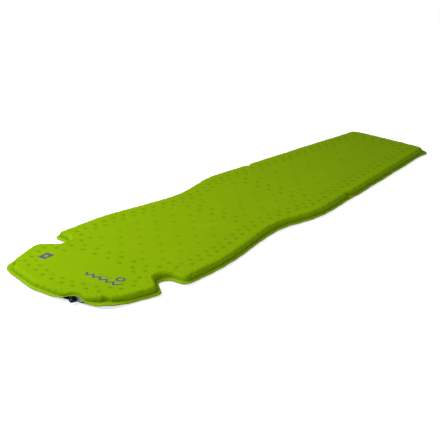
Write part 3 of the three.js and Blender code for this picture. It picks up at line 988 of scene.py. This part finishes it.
class PAD_OT_top_cover(bpy.types.Operator):
    """Builds the green upper cover: welded margin, rolled edge and dimpled sheet"""

    bl_idname = "sleeping_pad.top_cover"
    bl_label = "Upper Cover"

    def execute(self, context):
        scene = context.scene
        sizes = scene.pad_sizes
        plan = Plan(COVER_SPACING[0])
        edge_x = valve_line_x(plan)
        cuts = die_cuts()
        flat = sizes.height / MM
        outer, inner = cover_rows(plan, edge_x, sizes, 1)
        outer, outer_painted_shades = settle(outer, cuts, sizes, flat)
        last = outer[-1][:, :2]
        spacing = sizes.grid / MM
        grid, triangles = cap(last, spacing, shrink(last, 0.6 * spacing), cuts, sizes.dimple_radius / MM)
        height, dip_and_painted_shade = top_surface(grid, cuts, sizes, flat)
        grid = lifted(grid, height)
        outer, grid = fill_edge(outer, grid, triangles, sizes)
        under_grid, under_triangles = hidden_face(inner)
        rows = inner[::-1] + outer
        piece = shell("upper_cover", rows, (under_grid, under_triangles), (grid, triangles))
        blank = np.zeros(sum(len(row) for row in inner))
        # Painted shade: none on the inner copy and the hidden face, the rows' shade round the edge, and the
        # dimples' shade on the sheet.
        painted_shades = np.concatenate([blank, outer_painted_shades, np.zeros(len(under_grid)), dip_and_painted_shade])
        mark_cloth(piece, painted_shades, len(inner), len(plan.along))
        material = coated_fabric("lime_coated_fabric", scene.pad_colours.top, 0.0)
        finish_piece(piece, material, "pad", "top_fabric", "top_cover")
        return {"FINISHED"}


class PAD_OT_bottom_cover(bpy.types.Operator):
    """Builds the charcoal lower cover, flat on the floor"""

    bl_idname = "sleeping_pad.bottom_cover"
    bl_label = "Lower Cover"

    def execute(self, context):
        scene = context.scene
        sizes = scene.pad_sizes
        plan = Plan(COVER_SPACING[1])
        edge_x = valve_line_x(plan)
        cuts = die_cuts()
        outer, inner = cover_rows(plan, edge_x, sizes, -1)
        last = outer[-1][:, :2]
        grid, triangles = cap(last, 7.0, shrink(last, 4.0))
        dip_and_painted_shade = dimples(grid, cuts, 6.0)
        under_grid, under_triangles = hidden_face(inner)
        rows = outer[::-1] + inner
        piece = shell(
            "lower_cover",
            rows,
            (lifted(grid, 0.5 * dip_and_painted_shade), triangles),
            (under_grid, under_triangles),
        )
        # Painted shade over the dimples of the face on the floor; none elsewhere.
        painted_shades = np.concatenate([np.zeros(sum(len(row) for row in rows)), dip_and_painted_shade, np.zeros(len(under_grid))])
        mark_cloth(piece, painted_shades, len(outer), len(plan.along))
        material = coated_fabric("charcoal_coated_fabric", scene.pad_colours.bottom, 0.05)
        finish_piece(piece, material, "pad", "bottom_fabric", "bottom_cover")
        return {"FINISHED"}


# ---------------------------------------------------------------- foam
POCKET_HALF_WIDTH = 44  # hollow in the foam's head end for the valve
POCKET_DEPTH = 34
CUT_LENGTH = 16
CUT_WIDTH = 11
FOAM_BOTTOM = 1.1
FOAM_SPACING = 10.0
# Edge of the foam from its underside to its top: inset from the margin, height.
FOAM_PROFILE = ((12, FOAM_BOTTOM), (5, 4.5), (3.5, SEAM_Z), (4.5, 15.5), (7.5, 19.0), (12.5, FOAM_TOP))


def diamonds(cuts):
    """Corners of the diamond at each die cut, four to a cut, counter-clockwise."""
    shape = np.array([[CUT_LENGTH / 2, 0], [0, CUT_WIDTH / 2], [-CUT_LENGTH / 2, 0], [0, -CUT_WIDTH / 2]])
    return (cuts[:, None, :2] + shape[None]).reshape(-1, 2)


def pierced_cap(boundary, corners):
    """Triangles over a boundary with the diamonds left open.

    The boundary and the diamonds constrain a Delaunay triangulation, and a triangle goes if its middle
    is inside a diamond."""
    points = np.vstack([boundary, corners])
    count = len(boundary)
    edges = [(i, (i + 1) % count) for i in range(count)]
    edges += [(count + i, count + i - i % 4 + (i + 1) % 4) for i in range(len(corners))]
    triangles = triangulate(points, edges)
    middle = points[triangles].mean(1)
    centres = corners.reshape(-1, 4, 2).mean(1)
    away = np.abs(middle[:, None] - centres[None]) / np.array([CUT_LENGTH / 2, CUT_WIDTH / 2])
    return triangles[~(away.sum(2) < 1).any(1)]


class PAD_OT_foam_core(bpy.types.Operator):
    """Builds the die-cut foam core inside the covers"""

    bl_idname = "sleeping_pad.foam_core"
    bl_label = "Foam Core"

    def execute(self, context):
        scene = context.scene
        plan = Plan(FOAM_SPACING)
        edge_x = valve_line_x(plan)
        margin = scene.pad_sizes.margin / MM + margin_extra(plan.rings[0])
        rows = []
        for inset, height in FOAM_PROFILE:
            points = plan.at(margin + inset)
            away = np.clip(np.abs(points[:, 1] - VALVE_Y) / POCKET_HALF_WIDTH, 0, 1)
            points[:, 0] += POCKET_DEPTH * np.sqrt(1 - away**2) * (points[:, 0] < edge_x + VALVE_REACH)
            rows.append(lifted(points, height))
        boundary = rows[-1][:, :2]
        corners = diamonds(die_cuts())
        whole = inside(shrink(boundary, 3), corners).reshape(-1, 4).all(1)
        corners = corners[np.repeat(whole, 4)]
        triangles = pierced_cap(boundary, corners)
        count = len(plan.along)
        base = len(rows) * count
        total = len(corners)
        points = np.vstack([*rows, lifted(corners, FOAM_BOTTOM), lifted(corners, FOAM_TOP)])
        low_ids = np.concatenate([np.arange(count), base + np.arange(total)])
        high_ids = np.concatenate([base - count + np.arange(count), base + total + np.arange(total)])
        here = np.arange(total)
        after = here - here % 4 + (here + 1) % 4
        walls = np.stack([base + after, base + here, base + total + here, base + total + after], 1)
        faces = loft_faces(len(rows), count).tolist() + walls.tolist()
        faces += low_ids[triangles][:, ::-1].tolist() + high_ids[triangles].tolist()
        piece = write_mesh("foam_slab", points, faces)
        piece.data.polygons.foreach_set("use_smooth", np.zeros(len(piece.data.polygons), bool))
        material = open_cell_foam("cream_open_cell_foam", scene.pad_colours.foam)
        finish_piece(piece, material, "pad", "foam", "foam_core")
        return {"FINISHED"}


def paint(node, material):
    """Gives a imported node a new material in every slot."""
    node.data.materials.clear()
    node.data.materials.append(material)


# ---------------------------------------------------------------- prints
def print_outline(node):
    """Middle and size of a print in the plan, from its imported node."""
    low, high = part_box(node)
    middle = np.array([(low.x + high.x) / 2 / MM - PLAN_SHIFT, (low.y + high.y) / 2 / MM])
    size = np.array([(high.x - low.x) / MM, (high.y - low.y) / MM])
    return middle, size


def frame_strip(outer, inner, middle, across):
    """Rings between two closed curves of one count, from the outer to the inner, across steps apart."""
    shares = np.linspace(0, 1, across + 1)
    return [middle + outer * (1 - share) + inner * share for share in shares]


def curve_at(polygon, angles):
    """Points where rays at the angles meet a closed convex polygon round the origin."""
    a, b = polygon, np.roll(polygon, -1, 0)
    ray = np.stack([np.cos(angles), np.sin(angles)], 1)
    side = b - a
    cross = ray[:, None, 0] * side[None, :, 1] - ray[:, None, 1] * side[None, :, 0]
    cross = np.where(np.abs(cross) < 1e-9, np.nan, cross)
    reach = (a[:, 0] * side[:, 1] - a[:, 1] * side[:, 0])[None] / cross
    along = (a[None, :, 0] * ray[:, None, 1] - a[None, :, 1] * ray[:, None, 0]) / cross
    good = (reach > 0) & (along >= -1e-6) & (along <= 1 + 1e-6)
    distance = np.nanmax(np.where(good, reach, np.nan), axis=1)
    return ray * distance[:, None]


def box_corners(width, height):
    """Corners of a rectangle round the origin, counter-clockwise."""
    return np.array([[-1, -1], [1, -1], [1, 1], [-1, 1]]) * np.array([width, height]) / 2


# Sizes of the prints: radii, the zigzag's stroke across, its peaks, and points round a closed print.
BADGE_HOLE = 6.5
HEXAGON_RADII = (16.0, 8.5)
RIDGE_STROKE = 10.0
RIDGE_PEAKS = 5
PRINT_AROUND = 96
PRINT_LIFT = 0.10
PRINT_THICKNESS = 0.10


def film(name, grid_points, closed, cuts, sizes):
    """A thin film of ink draped on the upper sheet, from rows of plan points.

    The grid's upper copy lies a hair above the sheet and its lower copy just under that; walls close
    the edges. closed says whether each row runs round to its own start."""
    rows, count = len(grid_points), len(grid_points[0])
    flat_points = np.concatenate(grid_points)
    height, dip_and_painted_shade = top_surface(flat_points, cuts, sizes, sizes.height / MM)
    upper = lifted(flat_points, height + PRINT_LIFT + PRINT_THICKNESS)
    lower = lifted(flat_points, height + PRINT_LIFT)
    index = np.arange(rows * count).reshape(rows, count)
    if closed:
        index = np.hstack([index, index[:, :1]])
    a, b = index[:-1, :-1].ravel(), index[:-1, 1:].ravel()
    c, d = index[1:, 1:].ravel(), index[1:, :-1].ravel()
    top = np.stack([a, b, c, d], 1)
    total = rows * count
    walls = [edge_wall(index[0], total, False), edge_wall(index[-1], total, True)]
    if not closed:
        walls += [edge_wall(index[:, 0], total, True), edge_wall(index[:, -1], total, False)]
    faces = np.concatenate([top, top[:, ::-1] + total, *walls])
    return write_mesh(name, np.vstack([upper, lower]), faces.tolist())


def edge_wall(line, total, turned):
    """Quads between a line of upper points and the same line of lower points."""
    a, b = line[:-1], line[1:]
    quads = np.stack([a, a + total, b + total, b], 1)
    return quads[:, ::-1] if turned else quads


class PAD_OT_prints(bpy.types.Operator):
    """Builds the four generic ink prints on the head end"""

    bl_idname = "sleeping_pad.prints"
    bl_label = "Prints"

    def execute(self, context):
        scene = context.scene
        sizes = scene.pad_sizes
        cuts = die_cuts()
        material = printed_ink("purple_grey_ink", scene.pad_colours.ink)
        angles = np.arange(PRINT_AROUND) / PRINT_AROUND * 2 * np.pi
        pieces = {}

        middle, size = print_outline("badge_print")
        outer = curve_at(box_corners(*size), angles)
        rows = frame_strip(outer, regular(BADGE_HOLE, PRINT_AROUND), middle, 8)
        pieces["badge_print"] = film("badge_ink", rows, True, cuts, sizes)

        middle, size = print_outline("hexagon_print")
        outer, inner = (curve_at(regular(radius, 6), angles) for radius in HEXAGON_RADII)
        rows = frame_strip(outer, inner, middle, 4)
        pieces["hexagon_print"] = film("hexagon_ink", rows, True, cuts, sizes)

        middle, size = print_outline("rule_print")
        y = np.linspace(-size[1] / 2, size[1] / 2, 32)
        rows = [middle + np.stack([np.full(32, x), y], 1) for x in (size[0] / 2, 0.0, -size[0] / 2)]
        pieces["rule_print"] = film("rule_ink", rows, False, cuts, sizes)

        middle, size = print_outline("ridge_print")
        y = np.linspace(-size[1] / 2, size[1] / 2, 121)
        wave = size[1] / RIDGE_PEAKS
        peak = 1 - np.abs((y + size[1] / 2) % wave / (wave / 2) - 1)
        low = size[0] / 2 - (size[0] - RIDGE_STROKE) * peak
        rows = [middle + np.stack([low - RIDGE_STROKE * share, y], 1) for share in np.linspace(0, 1, 5)]
        pieces["ridge_print"] = film("ridge_ink", rows, False, cuts, sizes)

        for node, piece in pieces.items():
            finish_piece(piece, material, "pad", "ink", node)
        return {"FINISHED"}


# ---------------------------------------------------------------- valve
def valve_frame():
    """Matrix that takes valve coordinates, +X out along the valve's axis, to the frame, in metres.

    Its origin is where the axis crosses the welded edge."""
    knob = next(joint for joint in frame["joints"] if joint["name"] == "knob_turn")
    axis = Vector(knob["axis"]).normalized()
    side = Vector((0, 0, 1)).cross(axis).normalized()
    up = axis.cross(side)
    turn = Matrix((axis, side, up)).transposed()
    origin = Vector(knob["pos_m"]) - axis * KNOB_PIVOT * MM
    return Matrix.Translation(origin) @ turn.to_4x4()


def place(points_mm, matrix):
    """Valve points in millimetres, moved into the plan that write_mesh reads."""
    turn = np.array(matrix.to_3x3())
    moved = points_mm @ turn.T + np.array(matrix.translation) / MM
    return moved - np.array([PLAN_SHIFT, 0, 0])


def turned_grid(profile, around, shape=None):
    """Points of a closed profile carried round the valve's axis; shape(radius, angle, row) adjusts it."""
    profile = np.asarray(profile, float)
    angle = np.arange(around) / around * 2 * np.pi
    radius = np.repeat(profile[:, 1:2], around, 1)
    if shape is not None:
        radius = shape(radius, angle[None], profile[:, :1])
    along = np.repeat(profile[:, :1], around, 1)
    grid = np.stack([along, radius * np.cos(angle), radius * np.sin(angle)], 2)
    return grid.reshape(-1, 3)


def turned_faces(rows, around):
    """Quads of a closed profile carried round the axis, joined both ways."""
    row = np.arange(rows)[:, None]
    column = np.arange(around)[None]
    next_row, next_column = (row + 1) % rows, (column + 1) % around
    corners = [row * around + column, next_row * around + column]
    corners += [next_row * around + next_column, row * around + next_column]
    return np.stack([np.broadcast_to(c, (rows, around)).ravel() for c in corners], 1)


def rounded(profile, radius, steps=4):
    """A closed profile with every corner cut to an arc-like curve of about the radius."""
    points = np.asarray(profile, float)
    before, after = np.roll(points, 1, 0), np.roll(points, -1, 0)
    reach_in = np.minimum(radius, np.linalg.norm(before - points, axis=1) * 0.45)[:, None]
    reach_out = np.minimum(radius, np.linalg.norm(after - points, axis=1) * 0.45)[:, None]
    start = points + (before - points) / np.linalg.norm(before - points, axis=1)[:, None] * reach_in
    end = points + (after - points) / np.linalg.norm(after - points, axis=1)[:, None] * reach_out
    share = np.linspace(0, 1, steps)[None, :, None]
    curve = start[:, None] * (1 - share) ** 2 + end[:, None] * share**2
    curve += points[:, None] * 2 * share * (1 - share)
    return curve.reshape(-1, 2)


KNOB_RADIUS = 8.75
GRIP_ENDS = (6.6, 20.2)  # along the axis, where the grooves have died away
GRIP_FADE = 0.8
GRIP_RADIUS = 8.4  # only points outside this are grooved
GROOVE_DEPTH = 0.55
POINTS_PER_RIB = 12
# The knob's section, closed: place along the axis from the welded edge, radius.
KNOB_PROFILE = (
    (5.2, 6.9),
    (5.2, 8.0),
    (6.2, 8.6),
    (7.2, KNOB_RADIUS),
    (19.8, KNOB_RADIUS),
    (20.6, 8.3),
    (22.0, 6.9),
    (22.0, 3.5),
    (20.2, 3.3),
    (20.2, 2.05),
    (17.7, 2.05),
    (17.7, 6.7),
)


class PAD_OT_knob(bpy.types.Operator):
    """Builds the black ribbed knob of the valve"""

    bl_idname = "sleeping_pad.knob"
    bl_label = "Valve Knob"

    def execute(self, context):
        scene = context.scene
        ribs = scene.pad_sizes.knob_ribs

        def grip(radius, angle, along):
            """Grooves between the ribs, fading out towards both ends of the grip."""
            low, high = GRIP_ENDS
            on_grip = np.clip((along - low) / GRIP_FADE, 0, 1) * np.clip((high - along) / GRIP_FADE, 0, 1)
            groove = np.clip(np.cos(ribs * angle) * 1.6, -1, 1) * 0.5 - 0.5
            outside = (radius > GRIP_RADIUS).astype(float)
            return radius + GROOVE_DEPTH * groove * on_grip * outside

        profile = rounded(KNOB_PROFILE, 0.45)
        long_side = np.linspace(7.9, 19.2, 12)[:, None]
        split = np.argmin(np.abs(profile[:, 0] - 7.6) + np.abs(profile[:, 1] - KNOB_RADIUS))
        long_side = np.hstack([long_side, np.full_like(long_side, KNOB_RADIUS)])
        profile = np.insert(profile, split + 1, long_side, 0)
        around = ribs * POINTS_PER_RIB
        points = turned_grid(profile, around, grip)
        faces = turned_faces(len(profile), around)
        piece = write_mesh("knob", place(points, valve_frame()), faces[:, ::-1].tolist())
        material = moulded_plastic("black_moulded_plastic", scene.pad_colours.valve_black, 0.55, 0.0)
        material.node_tree.nodes["Principled BSDF"].inputs["Specular IOR Level"].default_value = 0.08
        finish_piece(piece, material, "knob", "black_plastic", "valve_knob")
        return {"FINISHED"}


class PAD_OT_valve_body(bpy.types.Operator):
    """Finishes the valve's base, stem, plunger and rubber rings"""

    bl_idname = "sleeping_pad.valve_body"
    bl_label = "Valve Body"

    def execute(self, context):
        colours = context.scene.pad_colours
        grey = moulded_plastic("blue_grey_urethane", colours.valve_grey, 0.36, 0.15)
        stem = moulded_plastic("grey_hard_plastic", scaled(colours.valve_grey, 0.9), 0.3, 0.05)
        rubber = soft_rubber("matt_black_rubber")
        nodes = frame["nodes"]
        paint(nodes["valve_base"], grey)
        paint(nodes["valve_stem"], stem)
        dark = moulded_plastic("dark_grey_hard_plastic", scaled(colours.valve_grey, 0.15), 0.35, 0.0)
        paint(nodes["valve_plunger"], dark)
        paint(nodes["stem_o_ring"], rubber)
        paint(nodes["seal_disc"], rubber)
        return {"FINISHED"}


# ---------------------------------------------------------------- stage
FLOOR_SIZE = 30
FLOOR_Z = -0.0006  # just under the pad, in metres
CAMERA_TARGET = (-0.1393 + PLAN_SHIFT * MM, -0.0138, 0)
# Lights in metres: place, what they face, width of the square.
KEY_LIGHT = ((-1.5, 1.3, 1.9), (-0.6, 0, 0), 1.4)
FILL_LIGHT = ((-2.2, -2.6, 1.6), (0, 0, 0), 2.5)


def area_light(name, location, target, size, power):
    """A square light at a place, facing a target."""
    data = bpy.data.lights.new(name, "AREA")
    data.shape = "SQUARE"
    data.size = size
    data.energy = power
    light = bpy.data.objects.new(name, data)
    light.location = location
    light.rotation_euler = (Vector(target) - Vector(location)).to_track_quat("-Z", "Y").to_euler()
    bpy.context.scene.collection.objects.link(light)


def camera_matrix(azimuth, elevation, roll, distance, target):
    """Camera pose: it looks at target from a distance, and is turned by roll about its line of sight."""
    back = Vector(
        (
            math.sin(azimuth) * math.cos(elevation),
            -math.cos(azimuth) * math.cos(elevation),
            math.sin(elevation),
        )
    )
    right = (-back).cross(Vector((0, 0, 1))).normalized()
    up = right.cross(-back)
    rolled_right = right * math.cos(roll) + up * math.sin(roll)
    rolled_up = up * math.cos(roll) - right * math.sin(roll)
    turn = Matrix((rolled_right, rolled_up, back)).transposed()
    return Matrix.Translation(Vector(target) + back * distance) @ turn.to_4x4()


class PAD_OT_stage(bpy.types.Operator):
    """Builds the glowing white floor, the soft lights and the camera"""

    bl_idname = "sleeping_pad.stage"
    bl_label = "Stage"

    def execute(self, context):
        scene = context.scene
        settings = scene.pad_stage
        bpy.ops.mesh.primitive_plane_add(size=FLOOR_SIZE, location=(0, 0, FLOOR_Z))
        floor = context.active_object
        floor.name = "floor"
        floor.data.materials.append(studio_floor("pale_paper_floor", settings.floor_glow))

        area_light("key", *KEY_LIGHT, settings.key_power)
        area_light("fill", *FILL_LIGHT, settings.fill_power)
        world = bpy.data.worlds.new("studio")
        world.use_nodes = True
        world.node_tree.nodes["Background"].inputs["Color"].default_value = (1, 1, 1, 1)
        world.node_tree.nodes["Background"].inputs["Strength"].default_value = settings.sky
        scene.world = world
        scene.view_settings.view_transform = "Standard"

        data = bpy.data.cameras.new("camera")
        data.lens = settings.lens
        data.sensor_width = 36
        data.clip_end = 100
        camera = bpy.data.objects.new("camera", data)
        camera.matrix_world = camera_matrix(
            settings.azimuth, settings.elevation, settings.roll, settings.distance, CAMERA_TARGET
        )
        scene.collection.objects.link(camera)
        scene.camera = camera
        return {"FINISHED"}


# ---------------------------------------------------------------- add-on
class PAD_PT_panel(bpy.types.Panel):
    """Buttons and settings for the sleeping pad"""

    bl_idname = "PAD_PT_panel"
    bl_label = "Sleeping Pad"
    bl_space_type = "VIEW_3D"
    bl_region_type = "UI"
    bl_category = "Sleeping Pad"

    def draw(self, context):
        layout = self.layout
        for operator in OPERATORS:
            layout.operator(operator.bl_idname)
        for group in (context.scene.pad_sizes, context.scene.pad_colours, context.scene.pad_stage):
            box = layout.box()
            for name in group.__annotations__:
                box.prop(group, name)


GROUPS = (PadSizes, PadColours, StageSettings)
OPERATORS = (
    PAD_OT_foam_core,
    PAD_OT_bottom_cover,
    PAD_OT_top_cover,
    PAD_OT_prints,
    PAD_OT_valve_body,
    PAD_OT_knob,
    PAD_OT_stage,
)


def register():
    """Registers the settings, operators and panel."""
    for item in (*GROUPS, *OPERATORS, PAD_PT_panel):
        bpy.utils.register_class(item)
    bpy.types.Scene.pad_sizes = PointerProperty(type=PadSizes)
    bpy.types.Scene.pad_colours = PointerProperty(type=PadColours)
    bpy.types.Scene.pad_stage = PointerProperty(type=StageSettings)


def unregister():
    """Removes everything that register added."""
    del bpy.types.Scene.pad_stage
    del bpy.types.Scene.pad_colours
    del bpy.types.Scene.pad_sizes
    for item in reversed((*GROUPS, *OPERATORS, PAD_PT_panel)):
        bpy.utils.unregister_class(item)


def main():
    """Builds every piece in order."""
    register()
    for name in ("foam_core", "bottom_cover", "top_cover", "prints", "valve_body", "knob", "stage"):
        getattr(bpy.ops.sleeping_pad, name)()


if __name__ == "__main__":
    main()
